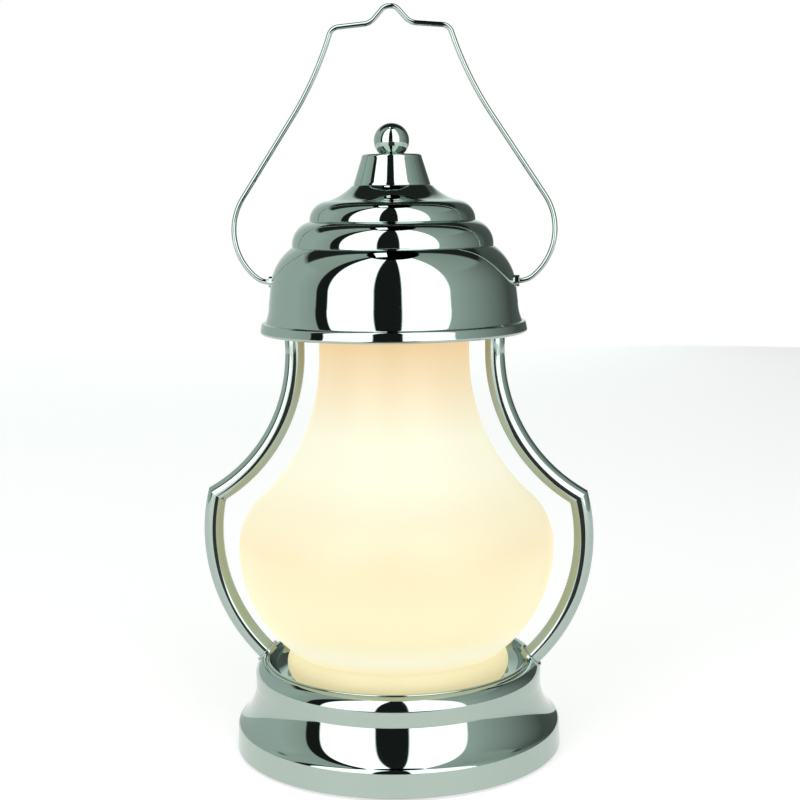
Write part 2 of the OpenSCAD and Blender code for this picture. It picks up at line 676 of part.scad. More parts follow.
module ring_screws() color("silver") both_sides() translate([strap_x, 0, z_ring_top])
    mirror([0, 0, 1]) screw(ring_t + ring_screw_len - ring_screw_room);

module neck_seal() color("white") {
    ring(neck_r, ring_hole_r, z_ring - neck_seal_lip, z_ring_top + neck_seal_lip);
    ring(neck_r, ring_hole_r + neck_seal_lip, z_ring_top, z_ring_top + neck_seal_lip);
    ring(neck_r, ring_hole_r + neck_seal_lip, z_ring - neck_seal_lip, z_ring);
}

// ---- hood
module hood() color("silver") difference() {
    sheet_lathe(hood_path, sheet);
    both_sides() tab_hole(eyelet_bush_r + fit);
}

eyelet_in = 1;                       // how far the eyelets reach inwards from the tabs
pin_x = tab_x - ring_t - eyelet_in;  // inner end of the eyelets and of the handle's pins
flange_x = skirt_top_r + eyelet_out;
flange_root = 4;                     // length of the flange before the hood's side cuts it
module eyelets() color("silver") both_sides() translate([0, 0, z_pivot]) rotate([0, 90, 0])
    difference() {
        union() {
            translate([0, 0, pin_x]) cylinder(h = flange_x - pin_x, r = eyelet_bush_r, $fn = 48);
            difference() {
                translate([0, 0, flange_x - flange_root])
                    cylinder(h = flange_root, r = eyelet_r, $fn = 48);
                rotate([0, -90, 0]) translate([0, 0, -z_pivot]) hood_body();
            }
        }
        cylinder(h = 2 * hood_r, r = eyelet_bore_r, $fn = 48);
    }

// ---- neck cap and finial
cap_foot_h = 0.8;                    // height of the upright edge at the cap's foot
module neck_cap() color("silver") let (edge = [cap_top_r - cap_edge_r, z_cap_top - cap_edge_r])
    sheet_lathe(concat([[cap_r, z_top], [cap_r, z_top + cap_foot_h], [cap_top_r, edge[1]]],
        tail(arc(edge, cap_edge_r, 0, 90, 5)), [[stud_d / 2 + fit, z_cap_top]]), sheet);

module finial_ball() color("silver") difference() {
    translate([0, 0, z_ball]) sphere(r = ball_r, $fn = FINE);
    translate([0, 0, z_cap_top - ball_r]) cube([2 * ball_r, 2 * ball_r, 2 * ball_r], center = true);
    translate([0, 0, z_cap_top - 1]) cylinder(h = ball_r, r = stud_d / 2, $fn = 48);
}

nut_af = 1.6 * stud_d;
nut_h = 0.8 * stud_d;
stud_under = 3;                      // how far the stud stands out under its nut
stud_short = 2;                      // how far it ends below a ball radius above the cap
z_stud = z_top - sheet - nut_h - stud_under;
module finial_stud() color("gray") translate([0, 0, z_stud])
    cylinder(h = z_cap_top + ball_r - stud_short - z_stud, r = stud_d / 2, $fn = 48);

module finial_nut() color("gray") translate([0, 0, z_top - sheet - nut_h]) hex_nut(nut_af, nut_h, stud_d);

// ---- handle: a wire bent in steps of [straight length, bend radius, bend angle],
// left bends positive, from the middle of the crown down to the pivot
wire_r = wire_d / 2;
bend_gap = 0.5;                      // shortest straight part between two bends
// the way a bend of radius r and angle a takes the wire, when it starts at slope h
function bend_way(r, h, a) = sign(a) * r * [sin(h + a) - sin(h), cos(h) - cos(h + a)];
function way(l, h) = l * [cos(h), sin(h)];
handle_rest = way(bend_gap, 0) + bend_way(tip_r, 0, -flank_slope)
    + way(flank_len, -flank_slope) + bend_way(crown_bend_r, -flank_slope, flank_slope - crown_fall)
    + way(crown_arm, -crown_fall) + bend_way(corner_bend_r, -crown_fall, crown_fall - leg_top_slope)
    + way(bend_gap, -leg_top_slope) + bend_way(leg_bend_r, -leg_top_slope, leg_top_slope - leg_slope)
    + bend_way(belly_bend_r, -leg_slope, leg_slope + pivot_rise - 180) + way(bend_gap, pivot_rise - 180)
    + bend_way(pivot_bend_r, pivot_rise - 180, -pivot_rise);
// the straight part of the legs takes up the rest of the handle's height
leg_len = (handle_h + handle_rest[1]) / sin(leg_slope);
pin_len = handle_rest[0] + leg_len * cos(leg_slope) - pin_x;
handle_steps = [
    [bend_gap, tip_r, -flank_slope],
    [flank_len, crown_bend_r, flank_slope - crown_fall],
    [crown_arm, corner_bend_r, crown_fall - leg_top_slope],
    [bend_gap, leg_bend_r, leg_top_slope - leg_slope],
    [leg_len, belly_bend_r, leg_slope + pivot_rise - 180],
    [bend_gap, pivot_bend_r, -pivot_rise],
    [pin_len, 0, 0]];

module wire_straight(l) translate([-lap, 0, 0]) rotate([0, 90, 0])
    cylinder(h = l + 2 * lap, r = wire_r, $fn = 32);
module wire_bend(r, a) translate([0, sign(a) * r, 0]) rotate([0, 0, a > 0 ? -90 : 90 + a])
    rotate_extrude(angle = abs(a), $fn = FINE) translate([r, 0]) circle(r = wire_r - bend_thin, $fn = 32);
module wire_run(steps, i = 0) if (i < len(steps)) {
    l = steps[i][0];
    r = steps[i][1];
    a = steps[i][2];
    wire_straight(l);
    if (a != 0) translate([l, 0, 0]) {
        wire_bend(r, a);
        translate([0, sign(a) * r, 0]) rotate(a) translate([0, -sign(a) * r, 0]) wire_run(steps, i + 1);
    }
}
module handle() color("silver") both_sides()
    translate([0, 0, z_pivot + handle_h]) rotate([90, 0, 0]) wire_run(handle_steps);

base_shell();
base_ballast();
base_cover();
cover_screws();
felt_ring();
lead_bush();
dish();
glass_cushion();
stem();
stem_nuts();
stem_washers();
holder_cup();
holder_core();
holder_contact();
screw_sleeve();
bulb_cap();
bulb_glass();
glass_shade();
strap_left();
strap_right();
strap_collars();
foot_screws();
top_ring();
ring_screws();
neck_seal();
hood();
eyelets();
neck_cap();
finial_ball();
finial_stud();
finial_nut();
handle();
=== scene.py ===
"""Lantern table lamp, dressed on its construction model.

Spun chrome pieces, bent chrome bars and wire, and a lit opal glass. All sizes
are the maker's, in millimetres; the lamp stands on the floor at the origin,
with its two straps in the XZ plane and its front towards -Y.
"""

import math

import bmesh
import bpy
from bpy.props import FloatProperty, FloatVectorProperty, PointerProperty
from mathutils import Matrix, Vector


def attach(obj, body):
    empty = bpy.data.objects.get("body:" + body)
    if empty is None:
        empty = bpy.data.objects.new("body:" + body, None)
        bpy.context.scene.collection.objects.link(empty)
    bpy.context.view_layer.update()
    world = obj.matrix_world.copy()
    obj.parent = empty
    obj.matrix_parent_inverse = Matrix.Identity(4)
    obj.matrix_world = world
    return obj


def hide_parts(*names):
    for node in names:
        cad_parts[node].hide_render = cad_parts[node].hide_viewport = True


bl_info = {
    "name": "Lantern table lamp",
    "version": (1, 0, 0),
    "blender": (4, 5, 0),
    "location": "3D View > Sidebar > Lantern",
    "description": "Builds the pieces, finishes and stage of a chrome and opal glass lantern lamp",
    "category": "Object",
}

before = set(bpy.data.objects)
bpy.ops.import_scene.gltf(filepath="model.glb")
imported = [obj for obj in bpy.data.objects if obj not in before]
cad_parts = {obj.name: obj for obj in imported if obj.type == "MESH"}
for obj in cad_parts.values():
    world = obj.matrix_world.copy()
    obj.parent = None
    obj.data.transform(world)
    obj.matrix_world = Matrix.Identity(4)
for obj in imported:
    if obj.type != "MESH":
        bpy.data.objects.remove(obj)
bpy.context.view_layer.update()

MM = 0.001
LATHE_STEPS = 256  # faces round a spun piece, so that its reflections stay smooth
TUBE_SIDES = 40
WIRE_SIDES = 28
TINY = 1e-6

# The sizes that the sidebar leaves out: millimetres, and degrees where it says so.
SHEET = 1.0  # spun metal
SHELL_LIFT = 1.5  # the base shell stands clear of the table
BAND_DRAW, BAND_EDGE = 0.5, 2.4  # the bottom band's taper and its edge's radius
BAND_STEP = 0.4  # the upper band stands out over the cove
UPPER_BAND = 7.4
COVE_FOOT, COVE_TOP = 54, 11  # how far the cove faces up there, in degrees
SHOULDER_IN, SHOULDER_LIP, SHOULDER_BOW = 4.3, 0.3, 0.74
MOUTH_IN = 1.2  # the shell's mouth, outside the dish
DISH_CORNER, ROLL, RIM_OUT, RIM_EDGE = 8.8, 0.45, 0.95, 0.5
STEM_HOLE = 5.05
CUSHION = 0.8
BELLY_RISE = 64.2
BOWL_ARC, TOP_ARC, FLARE_ARC = 62, 30, 92
FOOT_ARC, FOOT_RISE, CREASE_RISE = 8.6, 7.2, 7.9
CREASE_TURN = 44  # where the foot's curve meets the bowl, in degrees
GLASS_HEIGHT, GLASS_WALL = 178.2, 3.4
FLARE_END = 2  # the straight neck starts so far above the flare
RING_RISE, RING_IN = 18, 7.3  # the ring above the flare, the straps' gap to the glass
BELLY_GAP, BELLY_OVER = 9.3, 4  # the straps' gap to the belly, their middle above it
HOOD_DROP = 8.7
SKIRT_RISE, DOME_RISE, SKIRT_TAPER = 14.2, 8, 0.9
TIER_2, TIER_1, CROWN, FLARE_RISE = 17.8, 12, 9.3, 6.9
LIP_BAND, LIP_EDGE = 5.3, 1.3  # the raised band on the hood's edge, and its rounding
STUD = 2.55
CAP_RISE, CAP_FOOT, CAP_EDGE = 14.3, 0.8, 1.4
BALL_RISE = 6.2
PIVOT_RISE, CROWN_RISE = 15, 125.8
COLLAR_OUT, COLLAR_UP = 0.9, 0.9
COLLAR_HALF, COLLAR_R = 0.9, 6.3
TAB_PLAY, TAB, BUSH_OVER = 0.9, 2, 1
FLANGE_OUT, FLANGE = 1.6, 3.2
BUSH_BORE, BUSH_R, FLANGE_R = 1.25, 2.3, 2.7

TENT_RADIUS = 2000  # far enough for the chrome to mirror it as a room
PANEL_LIGHT = 2.6  # the tent's bright panels, where 1 is white
PANEL_TOP = 77  # how high the bright panels reach, in degrees
CAMERA_TURN = 6.3  # the camera's way round the lamp, in degrees from -Y
CAMERA_TILT, CAMERA_ROLL = 82.4, -0.7
CAMERA_PLACE = (0.0807, -0.7084, 0.262)


# ---------------------------------------------------------------- properties


def length(name, description, millimetres):
    """A length that the sidebar shows in the scene's unit."""
    return FloatProperty(
        name=name,
        description=description,
        default=millimetres * MM,
        min=0.0,
        unit="LENGTH",
        subtype="DISTANCE",
    )


def colour(name, description, hex_value):
    """A colour given as sRGB hex, kept linear."""
    return FloatVectorProperty(
        name=name,
        description=description,
        default=linear(hex_value),
        min=0.0,
        max=1.0,
        size=3,
        subtype="COLOR",
    )


def linear(hex_value):
    """sRGB hex to the linear values that a shader takes."""
    parts = [int(hex_value[i : i + 2], 16) / 255 for i in (1, 3, 5)]
    return tuple(v / 12.92 if v <= 0.04045 else ((v + 0.055) / 1.055) ** 2.4 for v in parts)


class LANTERN_sizes(bpy.types.PropertyGroup):
    base_radius: length("Base radius", "Radius of the base at the foot of its bottom band", 78.0)
    band_height: length("Band height", "Height of the bottom band's straight part", 12.0)
    cove_height: length("Cove height", "Height of the hollow cove above the bottom band", 18.1)
    waist_radius: length("Waist radius", "Radius of the cove at its top", 68.2)
    shoulder_height: length("Shoulder", "Height of the rounded shoulder", 4.9)
    rim_radius: length("Rim radius", "Outer radius of the dish's rolled rim", 63.2)
    dish_radius: length("Dish radius", "Inner radius of the dish", 61.3)
    dish_depth: length("Dish depth", "Depth of the dish below the base's mouth", 9.4)
    belly_radius: length("Glass belly", "Greatest radius of the opal glass", 75.0)
    neck_radius: length("Glass neck", "Radius of the glass's straight neck", 35.4)
    foot_radius: length("Glass foot", "Greatest radius of the glass's rounded foot", 53.2)
    strap_diameter: length("Strap bar", "Diameter of the straps' round bar", 9.4)
    hood_radius: length("Hood radius", "Radius over the band round the hood's lower edge", 62.6)
    skirt_radius: length("Skirt radius", "Radius of the hood above its flare", 58.3)
    cap_radius: length("Cap radius", "Radius of the neck cap at its foot", 17.8)
    cap_top_radius: length("Cap top", "Radius of the neck cap at its top", 14.0)
    ball_radius: length("Ball radius", "Radius of the ball finial", 8.2)
    wire_diameter: length("Handle wire", "Diameter of the handle's wire", 2.4)


class LANTERN_finishes(bpy.types.PropertyGroup):
    chrome: colour("Chrome", "Polished chrome plate on spun brass", "#A8B6AF")
    opal_low: colour("Opal, foot", "Lit opal glass at its foot", "#F9ECB6")
    opal_bowl: colour("Opal, bowl", "Lit opal glass in the bowl", "#FAF0C3")
    opal_mid: colour("Opal, middle", "Lit opal glass at its brightest", "#FDFBE0")
    opal_high: colour("Opal, neck", "Lit opal glass at its neck", "#F4CD92")
    iron: colour("Iron", "Cast ballast", "#2E2D2B")
    brass: colour("Brass", "Turned brass of stem and lampholder", "#C9A35A")
    felt: colour("Felt", "Felt under the base", "#23251F")
    floor: colour("Floor", "Pale floor under the lamp", "#B9B9B8")


# ------------------------------------------------------------------ profiles
# Points are (radius, height) in millimetres, drawn from the bottom up.


def polar(centre, radius, degrees):
    a = math.radians(degrees)
    return (centre[0] + radius * math.cos(a), centre[1] + radius * math.sin(a))


def arc(centre, radius, start, end, steps):
    return [polar(centre, radius, start + (end - start) * i / steps) for i in range(steps + 1)]


def heading(a, b):
    return math.degrees(math.atan2(b[1] - a[1], b[0] - a[0]))


def bow(p, q, rise, steps=16):
    """The arc from p to q whose middle stands rise to the right of the chord."""
    dx, dy = q[0] - p[0], q[1] - p[1]
    chord = math.hypot(dx, dy)
    ux, uy = dx / chord, dy / chord
    radius = (chord * chord / 4 + rise * rise) / (2 * abs(rise))
    half = math.asin(chord / 2 / radius)
    side = math.copysign(1, rise)
    points = []
    for i in range(steps + 1):
        a = -half + 2 * half * i / steps
        along = radius * math.sin(a)
        out = side * (radius * math.cos(a) - radius + abs(rise))
        points.append(
            ((p[0] + q[0]) / 2 + ux * along + uy * out, (p[1] + q[1]) / 2 + uy * along - ux * out)
        )
    return points


def cove(p, q, radius, foot, top, steps=28):
    """A rounded edge from p, then a hollow to q; foot and top are how far it faces up."""
    edge = arc((p[0] - radius, p[1]), radius, 0, foot, 12)
    start, a, b = edge[-1], math.radians(foot), math.radians(top)
    dx, dz = start[0] - q[0], q[1] - start[1]
    reach = (dx * math.cos(b) - dz * math.sin(b)) / math.sin(a - b)
    knee = (start[0] - reach * math.sin(a), start[1] + reach * math.cos(a))
    return edge + curve(start, knee, q, steps)[1:]


def curve(p, knee, q, steps):
    """A soft curve from p to q that is pulled towards the knee."""
    points = []
    for i in range(steps + 1):
        t = i / steps
        weights = ((1 - t) ** 2, 2 * t * (1 - t), t * t)
        points.append(tuple(sum(w * c[k] for w, c in zip(weights, (p, knee, q))) for k in (0, 1)))
    return points


def inset(path, thickness):
    """The same path moved to its left, with mitred corners."""
    moved = []
    for i, p in enumerate(path):
        before = path[max(i - 1, 0)] if i else path[0]
        after = path[i + 1] if i + 1 < len(path) else p
        a = left_of(before, p) if i else left_of(p, after)
        b = left_of(p, after) if i + 1 < len(path) else a
        scale = thickness / (1 + a[0] * b[0] + a[1] * b[1])
        moved.append((p[0] + (a[0] + b[0]) * scale, p[1] + (a[1] + b[1]) * scale))
    return moved


def left_of(p, q):
    dx, dy = q[0] - p[0], q[1] - p[1]
    d = math.hypot(dx, dy)
    return (-dy / d, dx / d)


def turning(a, b, c):
    turn = heading(b, c) - heading(a, b)
    return abs((turn + 180) % 360 - 180)


def walk(path, start, step, distance):
    """The point at a distance along the path from a corner, and the index it lies before."""
    i, left = start, distance
    while 0 <= i + step < len(path):
        p, q = path[i], path[i + step]
        d = math.hypot(q[0] - p[0], q[1] - p[1])
        if d >= left:
            t = left / d
            return (p[0] + (q[0] - p[0]) * t, p[1] + (q[1] - p[1]) * t), i + step
        left -= d
        i += step
    return path[i], i


def soften(path, reach, least=14, steps=6):
    """Rounds each corner that turns by more than a few degrees, as spinning does."""
    corners = [
        i for i in range(1, len(path) - 1) if turning(path[i - 1], path[i], path[i + 1]) > least
    ]
    result, resume = [], 0
    for n, i in enumerate(corners):
        before = corners[n - 1] if n else 0
        after = corners[n + 1] if n + 1 < len(corners) else len(path) - 1
        room = [reach]
        for j in (before, after):
            low, high = min(i, j), max(i, j)
            span = sum(math.dist(path[k], path[k + 1]) for k in range(low, high))
            room.append(span * 0.45)
        d = min(room)
        back, stop = walk(path, i, -1, d)
        ahead, begin = walk(path, i, 1, d)
        result += path[resume : stop + 1] + curve(back, path[i], ahead, steps)
        resume = begin
    return result + path[resume:]


def held(path, near=0.5, ratio=3.0):
    """Adds points near the ends of long segments, so that smooth shading keeps them true."""
    result = [path[0]]
    for i in range(1, len(path)):
        p, q = path[i - 1], path[i]
        d = math.dist(p, q)
        before = math.dist(path[i - 2], p) if i > 1 else 0.01
        after = math.dist(q, path[i + 1]) if i + 1 < len(path) else 0.01
        if d > TINY:
            gap = min(near, d / 4)
            if d > ratio * before:
                result.append((p[0] + (q[0] - p[0]) * gap / d, p[1] + (q[1] - p[1]) * gap / d))
            if d > ratio * after:
                result.append((q[0] + (p[0] - q[0]) * gap / d, q[1] + (p[1] - q[1]) * gap / d))
            result.append(q)
    return result


# -------------------------------------------------------------------- meshes


def finished(name, mesh_data, finish, node=None, body="lamp_body"):
    """Links a mesh as a piece of the lamp, in place of its construction node."""
    piece = bpy.data.objects.new(name, mesh_data)
    bpy.context.scene.collection.objects.link(piece)
    mesh_data.materials.append(finish)
    for face in mesh_data.polygons:
        face.use_smooth = True
    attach(piece, body)
    if node:
        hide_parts(node)
    return piece


def mesh_from(name, bm):
    bmesh.ops.recalc_face_normals(bm, faces=bm.faces)
    data = bpy.data.meshes.new(name)
    bm.to_mesh(data)
    bm.free()
    return data


def spun(name, outline, place=None, bm=None, steps=LATHE_STEPS, seam=0.5):
    """Turns a closed outline of (radius, height) points about the Z axis."""
    own = bm is None
    bm = bm or bmesh.new()
    place = place or Matrix.Identity(4)
    rings = []
    for radius, height in outline:
        if radius < TINY:
            rings.append([bm.verts.new(place @ Vector((0, 0, height * MM)))])
            continue
        ring = []
        for i in range(steps):
            x, y = polar((0, 0), radius * MM, 360 * (i + seam) / steps)
            ring.append(bm.verts.new(place @ Vector((x, y, height * MM))))
        rings.append(ring)
    for n in range(len(rings)):
        low, high = rings[n], rings[(n + 1) % len(rings)]
        if len(low) == 1 and len(high) == 1:
            continue
        for i in range(steps):
            j = (i + 1) % steps
            corners = [low[i % len(low)], low[j % len(low)]]
            corners += [high[j % len(high)], high[i % len(high)]]
            unique = [v for k, v in enumerate(corners) if v not in corners[:k]]
            bm.faces.new(unique)
    return mesh_from(name, bm) if own else None


def drawn(name, path, radius, mitres=(), bm=None, mirror=False, sides=TUBE_SIDES):
    """A round bar or wire along a path of (x, z) points in the XZ plane."""
    own = bm is None
    bm = bm or bmesh.new()
    rings = []
    for i, p in enumerate(path):
        a = left_of(path[i - 1], p) if i else left_of(p, path[i + 1])
        b = left_of(p, path[i + 1]) if i + 1 < len(path) else a
        scale = 1 / (1 + a[0] * b[0] + a[1] * b[1])
        nx, nz = (a[0] + b[0]) * scale, (a[1] + b[1]) * scale
        ring = []
        for k in range(sides):
            t = 2 * math.pi * (k + 0.5) / sides
            out, across = radius * math.cos(t), radius * math.sin(t)
            x = (p[0] + nx * out) * (-1 if mirror else 1)
            ring.append(bm.verts.new(Vector((x, across, p[1] + nz * out)) * MM))
        rings.append(ring)
    for low, high in zip(rings, rings[1:]):
        for k in range(sides):
            j = (k + 1) % sides
            bm.faces.new((low[k], low[j], high[j], high[k]))
    bm.faces.new(rings[0])
    bm.faces.new(rings[-1])
    for i in mitres:
        for k in range(sides):
            edge = bm.edges.get((rings[i][k], rings[i][(k + 1) % sides]))
            edge.smooth = False
    return mesh_from(name, bm) if own else None


# ------------------------------------------------------------------- finishes


def add_node(tree, kind, links=None, **settings):
    """Adds a node, sets its fields and input values, and links its inputs."""
    node = tree.nodes.new(kind)
    for key, value in settings.items():
        if key == "inputs":
            for socket, number in value.items():
                node.inputs[socket].default_value = number
        else:
            setattr(node, key, value)
    for socket, source in (links or {}).items():
        tree.links.new(source, node.inputs[socket])
    return node


def new_finish(name, base, metallic, roughness, **sockets):
    """A Principled finish with its constant values on the shader's own sockets."""
    material = bpy.data.materials.new(name)
    material.use_nodes = True
    shader = material.node_tree.nodes["Principled BSDF"]
    shader.inputs["Base Color"].default_value = (*base, 1)
    shader.inputs["Metallic"].default_value = metallic
    shader.inputs["Roughness"].default_value = roughness
    for socket, value in sockets.items():
        shader.inputs[socket.replace("_", " ")].default_value = value
    return material, material.node_tree, shader


def per_metre(millimetres):
    """The scale of a pattern whose grain is this wide."""
    return 1000 / millimetres


def ramp(tree, source, stops, smooth=True):
    """A colour ramp from the given (position, linear colour) stops."""
    node = add_node(tree, "ShaderNodeValToRGB", {"Fac": source})
    node.color_ramp.interpolation = "EASE" if smooth else "LINEAR"
    elements = node.color_ramp.elements
    for end, (position, value) in ((elements[0], stops[0]), (elements[1], stops[-1])):
        end.position = position
        end.color = (*value, 1)
    for position, value in stops[1:-1]:
        elements.new(position).color = (*value, 1)
    return node


def between(a, b, share):
    """A colour between two, nearer to b the greater the share."""
    return tuple(x + (y - x) * share for x, y in zip(a, b))


def worn_roughness(tree, shader, low, high, grain):
    """Handling marks: roughness that drifts over patches of one size."""
    where = add_node(tree, "ShaderNodeTexCoord")
    marks = add_node(
        tree,
        "ShaderNodeTexNoise",
        {"Vector": where.outputs["Object"]},
        inputs={"Scale": per_metre(grain), "Detail": 6.0, "Roughness": 0.6},
    )
    spread = add_node(
        tree,
        "ShaderNodeMapRange",
        {"Value": marks.outputs["Fac"]},
        inputs={"From Min": 0.35, "From Max": 0.7, "To Min": low, "To Max": high},
    )
    tree.links.new(spread.outputs["Result"], shader.inputs["Roughness"])
    return where, marks


def bumped(tree, shader, height, distance, strength=1.0):
    bump = add_node(
        tree,
        "ShaderNodeBump",
        {"Height": height},
        inputs={"Distance": distance * MM, "Strength": strength},
    )
    tree.links.new(bump.outputs["Normal"], shader.inputs["Normal"])
    return bump


def chrome_plate(tint):
    # Bright chrome over spun brass: a hard mirror, slightly grey-green, with
    # faint wiping haze and the shallow waves that spinning leaves.
    material, tree, shader = new_finish("chrome_plate", tint, 1.0, 0.03)
    where, _ = worn_roughness(tree, shader, 0.012, 0.05, 22)
    waves = add_node(
        tree,
        "ShaderNodeTexNoise",
        {"Vector": where.outputs["Object"]},
        inputs={"Scale": per_metre(26), "Detail": 1.0},
    )
    bumped(tree, shader, waves.outputs["Fac"], 0.05)
    return material


def chrome_wire(tint):
    # Drawn wire and bar, plated: as bright as the spun pieces, with the fine
    # lines of drawing softened by the plate.
    material, tree, shader = new_finish("chrome_wire", tint, 1.0, 0.04)
    worn_roughness(tree, shader, 0.02, 0.07, 9)
    return material


def opal_glass(low, bowl, mid, high):
    # Flashed opal glass, lit from inside: it lets most light through, so it
    # glows cream, warmer where the wall stands far from the bulb, and its
    # satin skin gives no clear reflections.
    material, tree, shader = new_finish(
        "opal_glass", linear("#6E6A5C"), 0.0, 0.45, IOR=1.5, Emission_Strength=0.8
    )
    warmest = tuple(c * k for c, k in zip(bowl, (1.0, 0.94, 0.94)))
    where = add_node(tree, "ShaderNodeTexCoord")
    split = add_node(tree, "ShaderNodeSeparateXYZ", {"Vector": where.outputs["Object"]})
    rise = add_node(
        tree,
        "ShaderNodeMapRange",
        {"Value": split.outputs["Z"]},
        inputs={"From Min": 0.04, "From Max": 0.2},
    )
    glow = ramp(
        tree,
        rise.outputs["Result"],
        [
            (0.0, tuple(c * 0.8 for c in low)),
            (0.045, low),
            (0.1, mid),
            (0.16, bowl),
            (0.27, bowl),
            (0.4, warmest),
            (0.5, between(mid, warmest, 1 / 2)),
            (0.6, mid),
            (0.7, mid),
            (0.79, between(mid, high, 1 / 3)),
            (0.88, between(mid, high, 2 / 3)),
            (1.0, high),
        ],
        smooth=False,
    )
    cloud = add_node(
        tree,
        "ShaderNodeTexNoise",
        {"Vector": where.outputs["Object"]},
        inputs={"Scale": per_metre(60), "Detail": 2.0},
    )
    drift = add_node(
        tree,
        "ShaderNodeMapRange",
        {"Value": cloud.outputs["Fac"]},
        inputs={"To Min": 0.98, "To Max": 1.02},
    )
    lit = add_node(
        tree,
        "ShaderNodeVectorMath",
        {0: glow.outputs["Color"], "Scale": drift.outputs["Result"]},
        operation="SCALE",
    )
    tree.links.new(lit.outputs["Vector"], shader.inputs["Emission Color"])
    return material


def frosted_glass():
    # Inside-frosted bulb glass, lit.
    material, tree, shader = new_finish(
        "frosted_glass", linear("#F2EBDD"), 0.0, 0.4, IOR=1.5, Emission_Strength=1.0
    )
    shader.inputs["Emission Color"].default_value = (*linear("#FFE9BE"), 1)
    worn_roughness(tree, shader, 0.35, 0.5, 4)
    return material


def cast_iron(tint):
    # Sand-cast iron with an oiled skin: dark and grainy.
    material, tree, shader = new_finish("cast_iron", tint, 0.6, 0.6)
    _, marks = worn_roughness(tree, shader, 0.5, 0.75, 5)
    bumped(tree, shader, marks.outputs["Fac"], 0.4)
    return material


def zinc_steel():
    # Bright zinc plate on pressed and rolled steel: grey with a satin haze.
    material, tree, shader = new_finish("zinc_steel", linear("#B4B7B6"), 1.0, 0.35)
    worn_roughness(tree, shader, 0.28, 0.45, 8)
    return material


def turned_brass(tint):
    # Brass straight from the lathe, dulled a little by air.
    material, tree, shader = new_finish("turned_brass", tint, 1.0, 0.25)
    worn_roughness(tree, shader, 0.2, 0.38, 6)
    return material


def nickel_cap():
    # Rolled nickel-plated brass of a bulb's cap.
    material, tree, shader = new_finish("nickel_cap", linear("#BDB8AE"), 1.0, 0.3)
    worn_roughness(tree, shader, 0.22, 0.4, 5)
    return material


def glazed_porcelain():
    # White electrical porcelain under clear glaze.
    material, tree, shader = new_finish("glazed_porcelain", linear("#EDEAE0"), 0.0, 0.15, IOR=1.5)
    worn_roughness(tree, shader, 0.1, 0.25, 10)
    return material


def phenolic_plastic():
    # Moulded black phenolic of lampholder and lead bush: dull, slightly pebbled.
    material, tree, shader = new_finish("phenolic_plastic", linear("#151515"), 0.0, 0.4, IOR=1.55)
    _, marks = worn_roughness(tree, shader, 0.32, 0.5, 3)
    bumped(tree, shader, marks.outputs["Fac"], 0.05)
    return material


def silicone():
    # Translucent white silicone rubber of seal and cushion.
    material, tree, shader = new_finish(
        "silicone", linear("#DCD9CF"), 0.0, 0.5, IOR=1.41, Subsurface_Weight=0.2
    )
    worn_roughness(tree, shader, 0.45, 0.6, 4)
    return material


def wool_felt(tint):
    # Dense wool felt: matted fibres about half a millimetre apart, no gloss.
    material, tree, shader = new_finish("wool_felt", tint, 0.0, 0.95, Sheen_Weight=0.4)
    _, marks = worn_roughness(tree, shader, 0.9, 1.0, 0.5)
    bumped(tree, shader, marks.outputs["Fac"], 0.3)
    return material


